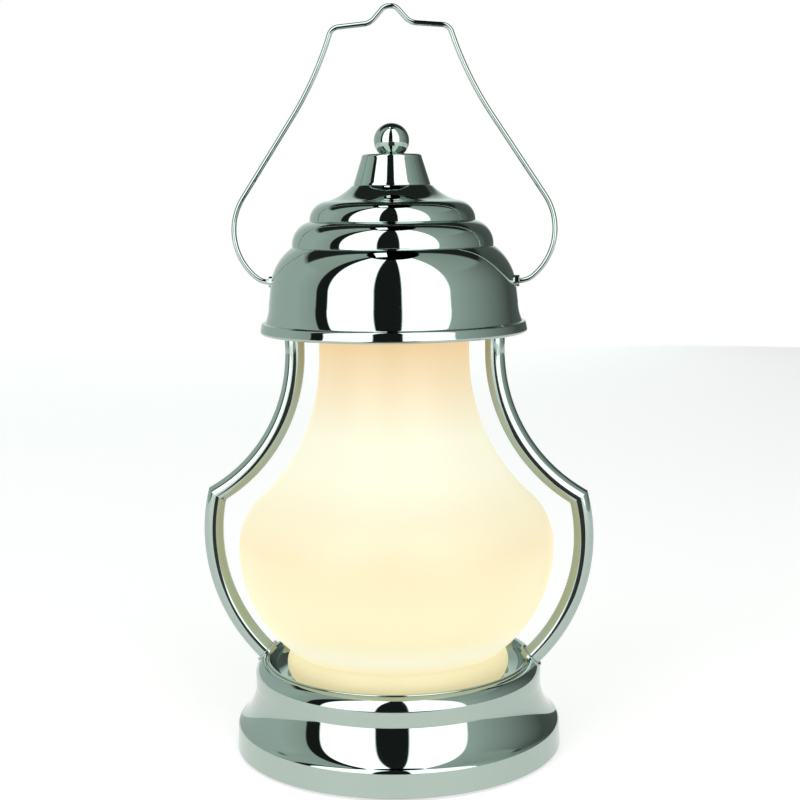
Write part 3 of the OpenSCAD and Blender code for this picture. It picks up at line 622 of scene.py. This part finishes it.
def tent_cloth():
    # Studio surroundings as light alone, by direction from the lamp. Angles
    # are in degrees from the camera, to the right, and up from the table. Each
    # list runs from left to right: the room, the panels in front, the room.
    material = bpy.data.materials.new("tent_cloth")
    material.use_nodes = True
    tree = material.node_tree
    tree.nodes.clear()
    where = add_node(tree, "ShaderNodeTexCoord")
    way = add_node(
        tree, "ShaderNodeVectorMath", {0: where.outputs["Object"]}, operation="NORMALIZE"
    )
    split = add_node(tree, "ShaderNodeSeparateXYZ", {"Vector": way.outputs["Vector"]})
    ahead = add_node(
        tree, "ShaderNodeMath", {0: split.outputs["Y"]}, operation="MULTIPLY", inputs={1: -1.0}
    )
    round_z = add_node(
        tree,
        "ShaderNodeMath",
        {0: split.outputs["X"], 1: ahead.outputs["Value"]},
        operation="ARCTAN2",
    )
    up = add_node(tree, "ShaderNodeMath", {0: split.outputs["Z"]}, operation="ARCSINE")
    turn = add_node(
        tree,
        "ShaderNodeMapRange",
        {"Value": round_z.outputs["Value"]},
        inputs={"From Min": -math.pi, "From Max": math.pi},
    )
    rise = add_node(
        tree,
        "ShaderNodeMapRange",
        {"Value": up.outputs["Value"]},
        inputs={"From Min": 0.0, "From Max": math.pi / 2},
    )

    def grey(level):
        return (level * 0.87, level, level * 0.94)

    soft, gap, edge = (PANEL_LIGHT,) * 3, grey(0.02), 0.3
    front = [(-74, gap), (-61 - edge, gap), (-61, soft), (-18 - edge, soft), (-18, gap)]
    front += [(8, gap), (8 + edge, soft), (52, soft)]
    room = [(-180, 0.95), (-150, 0.66), (-100, 0.74), (-74.5, 0.6)]
    flank = [(52.3, 0.72), (95, 0.4), (130, 0.12), (160, 0.14), (172, 0.95), (180, 0.95)]
    above = [(-180, 0.03), (-116, 0.03), (-112, 0.66), (-74.5, 0.6)]
    above_flank = [(52.3, 0.66), (112, 0.5), (116, 0.03), (180, 0.03)]
    rings = []
    for left, right in ((room, flank), (above, above_flank)):
        stops = [(a, grey(g)) for a, g in left] + front + [(a, grey(g)) for a, g in right]
        stops = [((a + 180) / 360, c) for a, c in stops]
        rings.append(ramp(tree, turn.outputs["Result"], stops, smooth=False))
    height = add_node(
        tree,
        "ShaderNodeMapRange",
        {"Value": rise.outputs["Result"]},
        inputs={"From Min": 40 / 90, "From Max": 44 / 90},
    )
    walls = add_node(
        tree,
        "ShaderNodeMix",
        {0: height.outputs["Result"], 6: rings[0].outputs["Color"], 7: rings[1].outputs["Color"]},
        data_type="RGBA",
    )
    levels = [(0, 1.0), (PANEL_TOP, 1.0), (PANEL_TOP + 0.5, 0.0), (90, 0.0)]
    ceiling = ramp(
        tree, rise.outputs["Result"], [(a / 90, (c, c, c)) for a, c in levels], smooth=False
    )
    light = add_node(
        tree,
        "ShaderNodeVectorMath",
        {0: walls.outputs[2], 1: ceiling.outputs["Color"]},
        operation="MULTIPLY",
    )
    # One small panel hangs under the dark ceiling, a little to the left.
    inside = []
    for socket, middle, half in (("X", -0.1, 0.05), ("Y", 0.0, 0.09)):
        inside.append(
            add_node(
                tree,
                "ShaderNodeMath",
                {0: split.outputs[socket]},
                operation="COMPARE",
                inputs={1: middle, 2: half},
            )
        )
    lamp_panel = add_node(
        tree,
        "ShaderNodeMath",
        {0: inside[0].outputs["Value"], 1: inside[1].outputs["Value"]},
        operation="MULTIPLY",
    )
    above = add_node(
        tree,
        "ShaderNodeMath",
        {0: lamp_panel.outputs["Value"], 1: split.outputs["Z"]},
        operation="MULTIPLY",
    )
    panel = add_node(
        tree,
        "ShaderNodeMath",
        {0: above.outputs["Value"]},
        operation="MULTIPLY",
        inputs={1: PANEL_LIGHT},
    )
    total = add_node(
        tree,
        "ShaderNodeVectorMath",
        {0: light.outputs["Vector"], 1: panel.outputs["Value"]},
        operation="ADD",
    )
    glow = add_node(
        tree, "ShaderNodeEmission", {"Color": total.outputs["Vector"]}, inputs={"Strength": 1.0}
    )
    add_node(tree, "ShaderNodeOutputMaterial", {"Surface": glow.outputs["Emission"]})
    return material


FINISH = {}


# --------------------------------------------------------------- lamp's shape


def lamp():
    """The lamp's levels and curves in millimetres, from the sidebar's sizes."""
    s = bpy.context.scene.lantern_sizes
    v = {key: getattr(s, key) / MM for key in s.__annotations__}
    v["z_waist"] = v["band_height"] + v["cove_height"]
    v["z_shoulder"] = v["z_waist"] + UPPER_BAND
    v["z_mouth"] = v["z_shoulder"] + v["shoulder_height"]
    v["z_floor"] = v["z_mouth"] - v["dish_depth"]
    v["z_glass"] = v["z_floor"] + CUSHION
    v["z_belly"] = v["z_glass"] + BELLY_RISE
    v["bowl_c"] = (v["belly_radius"] - BOWL_ARC, v["z_belly"])
    v["top_c"] = (v["belly_radius"] - TOP_ARC, v["z_belly"])
    x = v["neck_radius"] + FLARE_ARC
    rise = math.sqrt((TOP_ARC + FLARE_ARC) ** 2 - (x - v["top_c"][0]) ** 2)
    v["flare_c"] = (x, v["z_belly"] + rise)
    v["foot_c"] = (v["foot_radius"] - FOOT_ARC, v["z_glass"] + FOOT_RISE)
    v["z_bend"] = v["flare_c"][1] + FLARE_END
    v["z_ring"] = v["z_bend"] + RING_RISE
    v["z_hood"] = v["z_ring"] - HOOD_DROP
    v["z_skirt"] = v["z_hood"] + SKIRT_RISE
    v["z_dome"] = v["z_skirt"] + DOME_RISE
    v["z_tier2"] = v["z_dome"] + TIER_2
    v["z_tier1"] = v["z_tier2"] + TIER_1
    v["z_crown"] = v["z_tier1"] + CROWN
    v["z_top"] = v["z_crown"] + FLARE_RISE
    v["z_cap_top"] = v["z_top"] + CAP_RISE
    v["z_ball"] = v["z_cap_top"] + BALL_RISE
    v["z_pivot"] = v["z_ring"] + PIVOT_RISE
    v["skirt_top"] = v["skirt_radius"] - SKIRT_TAPER
    v["collar"] = (v["rim_radius"] + COLLAR_OUT, v["z_mouth"] + COLLAR_UP)
    return type("Lamp", (), v)


def crossing(c0, r0, c1, r1):
    """The outer crossing point of two circles."""
    dx, dy = c1[0] - c0[0], c1[1] - c0[1]
    d = math.hypot(dx, dy)
    a = (d * d + r0 * r0 - r1 * r1) / (2 * d)
    h = math.sqrt(r0 * r0 - a * a)
    mx, my = c0[0] + dx / d * a, c0[1] + dy / d * a
    pair = [(mx + dy / d * h, my - dx / d * h), (mx - dy / d * h, my + dx / d * h)]
    return max(pair)


# ------------------------------------------------------------------ operators


class LANTERN_OT_finishes(bpy.types.Operator):
    """Makes the finishes and gives the construction nodes that stay visible theirs"""

    bl_idname = "lantern.finishes"
    bl_label = "Finishes"

    def execute(self, context):
        f = context.scene.lantern_finishes
        FINISH["chrome"] = chrome_plate(f.chrome)
        FINISH["wire"] = chrome_wire(f.chrome)
        glow = (f.opal_low, f.opal_bowl, f.opal_mid, f.opal_high)
        FINISH["opal"] = opal_glass(*(tuple(c) for c in glow))
        FINISH["bulb"] = frosted_glass()
        FINISH["iron"] = cast_iron(f.iron)
        FINISH["zinc"] = zinc_steel()
        FINISH["brass"] = turned_brass(f.brass)
        FINISH["nickel"] = nickel_cap()
        FINISH["porcelain"] = glazed_porcelain()
        FINISH["phenolic"] = phenolic_plastic()
        FINISH["silicone"] = silicone()
        FINISH["felt"] = wool_felt(f.felt)
        given = {
            "base_ballast": "iron",
            "base_cover": "zinc",
            "cover_screws": "zinc",
            "felt_ring": "felt",
            "lead_bush": "phenolic",
            "glass_cushion": "silicone",
            "stem": "brass",
            "stem_nuts": "brass",
            "stem_washers": "zinc",
            "holder_cup": "phenolic",
            "holder_core": "porcelain",
            "holder_contact": "brass",
            "screw_sleeve": "brass",
            "bulb_cap": "nickel",
            "bulb_glass": "bulb",
            "foot_screws": "zinc",
            "top_ring": "chrome",
            "ring_screws": "zinc",
            "neck_seal": "silicone",
            "finial_stud": "zinc",
            "finial_nut": "zinc",
        }
        for node, finish in given.items():
            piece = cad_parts[node]
            for slot in piece.material_slots:
                slot.material = FINISH[finish]
        return {"FINISHED"}


class LANTERN_OT_base(bpy.types.Operator):
    """Spins the base shell and the dish that lies in its mouth"""

    bl_idname = "lantern.base"
    bl_label = "Base and dish"

    def execute(self, context):
        v = lamp()
        upper = v.waist_radius + BAND_STEP
        mouth = (upper - SHOULDER_IN, v.z_mouth + SHOULDER_LIP)
        band = (v.base_radius - BAND_DRAW, v.band_height)
        waist = (v.waist_radius, v.z_waist)
        shell = (
            [(v.base_radius, SHELL_LIFT)]
            + cove(band, waist, BAND_EDGE, COVE_FOOT, COVE_TOP)
            + [(upper, v.z_waist)]
            + bow((upper, v.z_shoulder), mouth, SHOULDER_BOW, 20)
            + [(mouth[0] - 0.7, mouth[1] + 0.05), (v.dish_radius + MOUTH_IN, v.z_mouth)]
        )
        outer = held(soften(shell, 0.45))
        inner = inset(shell, SHEET)
        mesh = spun("base_shell_skin", outer + inner[::-1])
        finished("base_shell_skin", mesh, FINISH["chrome"], "base_shell")

        corner = (v.dish_radius - DISH_CORNER, v.z_floor + DISH_CORNER)
        roll = (v.rim_radius - ROLL, v.z_mouth + ROLL)
        edge = (v.dish_radius + RIM_OUT, v.z_mouth + 0.4)
        inside = (
            [(STEM_HOLE, v.z_floor)]
            + arc(corner, DISH_CORNER, -90, -8, 18)
            + [(v.dish_radius + RIM_OUT - RIM_EDGE, v.z_mouth + 0.3)]
            + arc(edge, RIM_EDGE, 180, 90, 8)[1:]
        )
        outside = (
            [(STEM_HOLE, v.z_floor - SHEET)]
            + arc(corner, DISH_CORNER + SHEET, -90, 0, 20)
            + [(v.dish_radius + SHEET, v.z_mouth)]
            + arc(roll, ROLL, -90, 90, 10)
        )
        mesh = spun("dish_skin", held(outside) + held(inside)[::-1])
        finished("dish_skin", mesh, FINISH["chrome"], "dish")
        return {"FINISHED"}


class LANTERN_OT_glass(bpy.types.Operator):
    """Blows the opal glass: rounded foot, crease, bowl, shoulder, flare and neck"""

    bl_idname = "lantern.glass"
    bl_label = "Opal glass"

    def execute(self, context):
        v = lamp()
        foot_start = math.degrees(math.asin(-FOOT_RISE / FOOT_ARC))
        turn = heading(v.top_c, v.flare_c)
        lift = v.foot_c[1] + CREASE_RISE - v.z_belly
        outer = (
            arc(v.foot_c, FOOT_ARC, foot_start, CREASE_TURN, 24)
            + arc(v.bowl_c, BOWL_ARC, math.degrees(math.asin(lift / BOWL_ARC)), 0, 40)
            + arc(v.top_c, TOP_ARC, 0, turn, 24)[1:]
            + arc(v.flare_c, FLARE_ARC, turn + 180, 180, 40)[1:]
            + [(v.neck_radius, v.z_glass + GLASS_HEIGHT)]
        )
        inner = inset(outer, GLASS_WALL)
        skin = held(soften(outer, 0.9))
        foot_in = arc(v.foot_c, FOOT_ARC - GLASS_WALL, foot_start, -84, 6)
        outline = skin + inner[::-1] + foot_in[1:] + [(foot_in[-1][0], v.z_glass)]
        mesh = spun("opal_shade", outline)
        finished("opal_shade", mesh, FINISH["opal"], "glass_shade")
        return {"FINISHED"}


class LANTERN_OT_straps(bpy.types.Operator):
    """Bends the two straps from round bar and puts the collars on their feet"""

    bl_idname = "lantern.straps"
    bl_label = "Straps and collars"

    def execute(self, context):
        v = lamp()
        bar = v.strap_diameter / 2
        upper_c = (v.flare_c[0], v.z_bend)
        upper_r = FLARE_ARC - RING_IN - bar
        belly_x = v.belly_radius + BELLY_GAP + bar
        z_middle = v.z_belly + BELLY_OVER
        dx, dz = belly_x - v.collar[0], z_middle - v.collar[1]
        lower_r = (dx * dx + dz * dz) / (2 * dx)
        lower_c = (belly_x - lower_r, z_middle)
        corner = crossing(upper_c, upper_r, lower_c, lower_r)
        foot = heading(lower_c, v.collar)
        lower = arc(lower_c, lower_r, foot - 1.6, heading(lower_c, corner), 60)
        upper = arc(upper_c, upper_r, heading(upper_c, corner) + 360, 180, 60)
        top_x = upper[-1][0]
        path = lower + upper[1:] + [(top_x, v.z_ring - 0.5), (top_x, v.z_ring)]
        for side, mirror in (("right", False), ("left", True)):
            name = f"strap_{side}_bar"
            mesh = drawn(name, path, bar, mitres=[len(lower) - 1], mirror=mirror)
            finished(name, mesh, FINISH["wire"], f"strap_{side}")

        lean = 90 + foot
        half, hole = COLLAR_HALF, bar - 0.2
        disc = [(hole, -half), (COLLAR_R, -half), (COLLAR_R, half), (hole, half)]
        disc = held(soften(disc, 0.35))
        bm = bmesh.new()
        for side in (1, -1):
            place = Matrix.Translation(Vector((side * v.collar[0], 0, v.collar[1])) * MM)
            place @= Matrix.Rotation(math.radians(side * (90 - lean)), 4, "Y")
            spun("", disc, place, bm, steps=96)
        mesh = mesh_from("strap_collar_discs", bm)
        finished("strap_collar_discs", mesh, FINISH["chrome"], "strap_collars")
        return {"FINISHED"}


class LANTERN_OT_hood(bpy.types.Operator):
    """Spins the tiered hood with the band round its edge, the neck cap and the ball finial"""

    bl_idname = "lantern.hood"
    bl_label = "Hood and finial"

    def execute(self, context):
        v = lamp()
        z_band = v.z_hood + LIP_BAND
        lip = (v.hood_radius - LIP_EDGE, v.z_hood + LIP_EDGE)
        brow = (v.hood_radius - 1.8, z_band - LIP_EDGE)
        steps = (
            [(v.hood_radius - 1.9, v.z_hood)]
            + arc(lip, LIP_EDGE, -90, 0, 10)
            + arc(brow, LIP_EDGE, 0, 90, 10)
            + bow((60.2, z_band), (v.skirt_radius, v.z_skirt), -0.45)
            + [(v.skirt_top, v.z_dome)]
            + bow((v.skirt_top, v.z_dome), (47.6, v.z_tier2 - 0.3), 2.1, 20)[1:]
            + bow((47.0, v.z_tier2), (39.5, v.z_tier1 - 0.3), 2.4)
            + bow((38.7, v.z_tier1), (30, v.z_crown), 2.6)
            + bow((30, v.z_crown), (18.6, v.z_top), -0.8, 12)[1:]
            + [(STUD, v.z_top)]
        )
        outer = held(soften(steps, 0.35))
        inner = inset(steps, SHEET)
        mesh = spun("hood_skin", outer + inner[::-1])
        finished("hood_skin", mesh, FINISH["chrome"], "hood")

        edge = (v.cap_top_radius - CAP_EDGE, v.z_cap_top - CAP_EDGE)
        cap = (
            [(v.cap_radius, v.z_top), (v.cap_radius, v.z_top + CAP_FOOT)]
            + [(v.cap_top_radius, edge[1])]
            + arc(edge, CAP_EDGE, 0, 90, 8)[1:]
            + [(STUD, v.z_cap_top)]
        )
        mesh = spun("neck_cap_skin", held(soften(cap, 0.3, 30)) + inset(cap, SHEET)[::-1])
        finished("neck_cap_skin", mesh, FINISH["chrome"], "neck_cap")

        low = math.degrees(math.asin((v.z_cap_top - v.z_ball) / v.ball_radius))
        ball = [(0, v.z_cap_top)] + arc((0, v.z_ball), v.ball_radius, low, 90, 48)
        ball[-1] = (0, ball[-1][1])
        mesh = spun("finial_ball_skin", ball)
        finished("finial_ball_skin", mesh, FINISH["chrome"], "finial_ball")
        return {"FINISHED"}


class LANTERN_OT_handle(bpy.types.Operator):
    """Bends the wire handle with its pointed crown and turns the eyelets it swings in"""

    bl_idname = "lantern.handle"
    bl_label = "Handle and eyelets"

    def execute(self, context):
        v = lamp()
        wire = v.wire_diameter / 2
        inner_x = v.skirt_top - SHEET - TAB_PLAY - TAB - BUSH_OVER
        flange_x = v.skirt_top + FLANGE_OUT
        # Each row is a straight, a bend's radius, and its turn in degrees.
        crown = [(0.5, 4.4, -48.5), (5.2, 7.4, 43.5), (12, 4.8, -66.4), (0.5, 160, 14.8)]
        slope, hook = 56.6, 41.6
        low = (0.5, 9.8, -hook)

        def run(leg):
            x, z, way = 0.0, v.z_pivot + CROWN_RISE, 0.0
            points = [(x, z)]
            for straight, radius, turn in [*crown, (leg, 28.2, slope + hook - 180), low]:
                x += straight * math.cos(math.radians(way))
                z += straight * math.sin(math.radians(way))
                points.append((x, z))
                side = math.copysign(1, turn)
                centre = polar((x, z), radius, way + 90 * side)
                count = max(6, int(abs(turn) * radius / 60))
                points += arc(centre, radius, way - 90 * side, way - 90 * side + turn, count)[1:]
                x, z = points[-1]
                way += turn
            return points

        spare = run(0.0)[-1][1] - v.z_pivot
        path = run(spare / math.sin(math.radians(slope)))
        path.append((inner_x, path[-1][1]))
        left = [(-x, z) for x, z in path[:0:-1]]
        mesh = drawn("handle_wire", left + path, wire, sides=WIRE_SIDES)
        finished("handle_wire", mesh, FINISH["wire"], "handle", "handle_body")

        step_x = flange_x - FLANGE
        bush = [(BUSH_BORE, inner_x), (BUSH_R, inner_x), (BUSH_R, step_x)]
        bush += [(FLANGE_R, step_x), (FLANGE_R, flange_x), (BUSH_BORE, flange_x)]
        bm = bmesh.new()
        for side in (1, -1):
            place = Matrix.Translation((0, 0, v.z_pivot * MM))
            place @= Matrix.Rotation(math.radians(90 * side), 4, "Y")
            spun("", held(soften(bush, 0.3), 0.2), place, bm, steps=64)
        mesh = mesh_from("eyelet_bushes", bm)
        finished("eyelet_bushes", mesh, FINISH["chrome"], "eyelets")
        return {"FINISHED"}


class LANTERN_OT_stage(bpy.types.Operator):
    """Sets the pale floor, the light tent, the white background and the camera"""

    bl_idname = "lantern.stage"
    bl_label = "Stage"

    def execute(self, context):
        self.floor(context)
        self.tent()
        self.flag()
        self.world(context)
        self.camera(context)
        return {"FINISHED"}

    def floor(self, context):
        # Smooth pale studio table: its own light makes it read white, and what
        # the lamp keeps from it shows as a soft grey.
        tint = tuple(context.scene.lantern_finishes.floor)
        finish, _, shader = new_finish("pale_floor", tint, 0.0, 0.8, Emission_Strength=0.64)
        shader.inputs["Emission Color"].default_value = (1, 1, 1, 1)
        bm = bmesh.new()
        bmesh.ops.create_circle(bm, cap_ends=True, segments=96, radius=TENT_RADIUS * MM)
        self.staged("floor", bm, finish)

    def staged(self, name, bm, finish):
        data = mesh_from(name, bm)
        data.materials.append(finish)
        piece = bpy.data.objects.new(name, data)
        bpy.context.scene.collection.objects.link(piece)
        return piece

    def tent(self):
        # A round light tent: two bright panels in front, the gap that the camera
        # looks through, a grey room behind and a dark ceiling, all of which the
        # chrome mirrors. The camera looks through its cloth.
        bm = bmesh.new()
        dome = arc((0, 0), TENT_RADIUS, 0.2, 90, 32)
        rings = []
        for r, z in dome[:-1]:
            turned = [polar((0, 0), r * MM, 360 * i / 96) for i in range(96)]
            rings.append([bm.verts.new((x, y, z * MM)) for x, y in turned])
        for low, high in zip(rings, rings[1:]):
            for i in range(96):
                j = (i + 1) % 96
                bm.faces.new((low[i], low[j], high[j], high[i]))
        bm.faces.new(rings[-1])
        self.unseen(self.staged("light_tent", bm, tent_cloth()))

    def flag(self):
        # A black cloth on the table in front, below the picture: the chrome
        # mirrors it as the dark line down its bars.
        bm = bmesh.new()
        corners = [(-0.125, -0.2), (0.125, -0.2), (0.6, -1.9), (-0.6, -1.9)]
        bm.faces.new([bm.verts.new((x, y, 0.0008)) for x, y in corners])
        cloth, _, _ = new_finish("black_cloth", linear("#0A0C0B"), 0.0, 0.9)
        piece = self.staged("black_flag", bm, cloth)
        self.unseen(piece)
        piece.visible_diffuse = False

    def unseen(self, piece):
        piece.rotation_euler.z = math.radians(CAMERA_TURN)
        piece.visible_camera = False
        piece.visible_shadow = False

    def world(self, context):
        world = bpy.data.worlds.new("white_background")
        context.scene.world = world
        world.use_nodes = True
        world.node_tree.nodes["Background"].inputs["Color"].default_value = (1, 1, 1, 1)
        world.node_tree.nodes["Background"].inputs["Strength"].default_value = 1.0

    def camera(self, context):
        data = bpy.data.cameras.new("camera")
        data.sensor_width = 36
        data.lens = 68.4
        data.clip_start = 0.05
        piece = bpy.data.objects.new("camera", data)
        bpy.context.scene.collection.objects.link(piece)
        turn = (
            Matrix.Rotation(math.radians(CAMERA_TURN), 4, "Z")
            @ Matrix.Rotation(math.radians(CAMERA_TILT), 4, "X")
            @ Matrix.Rotation(math.radians(CAMERA_ROLL), 4, "Z")
        )
        piece.matrix_world = Matrix.Translation(CAMERA_PLACE) @ turn
        context.scene.camera = piece
        context.scene.view_settings.view_transform = "Standard"


class LANTERN_PT_sidebar(bpy.types.Panel):
    """Sizes, finishes and steps of the lantern lamp"""

    bl_label = "Lantern lamp"
    bl_idname = "LANTERN_PT_sidebar"
    bl_space_type = "VIEW_3D"
    bl_region_type = "UI"
    bl_category = "Lantern"

    def draw(self, context):
        for group in (context.scene.lantern_sizes, context.scene.lantern_finishes):
            box = self.layout.box()
            for key in group.__annotations__:
                box.prop(group, key)
        for step in STEPS:
            self.layout.operator(step.bl_idname)


STEPS = (
    LANTERN_OT_finishes,
    LANTERN_OT_base,
    LANTERN_OT_glass,
    LANTERN_OT_straps,
    LANTERN_OT_hood,
    LANTERN_OT_handle,
    LANTERN_OT_stage,
)
CLASSES = (LANTERN_sizes, LANTERN_finishes, *STEPS, LANTERN_PT_sidebar)


def register():
    for cls in CLASSES:
        bpy.utils.register_class(cls)
    bpy.types.Scene.lantern_sizes = PointerProperty(type=LANTERN_sizes)
    bpy.types.Scene.lantern_finishes = PointerProperty(type=LANTERN_finishes)


def unregister():
    del bpy.types.Scene.lantern_finishes
    del bpy.types.Scene.lantern_sizes
    for cls in reversed(CLASSES):
        bpy.utils.unregister_class(cls)


def main():
    register()
    for step in STEPS:
        group, name = step.bl_idname.split(".")
        getattr(getattr(bpy.ops, group), name)()
    bpy.context.view_layer.update()


if __name__ == "__main__":
    main()
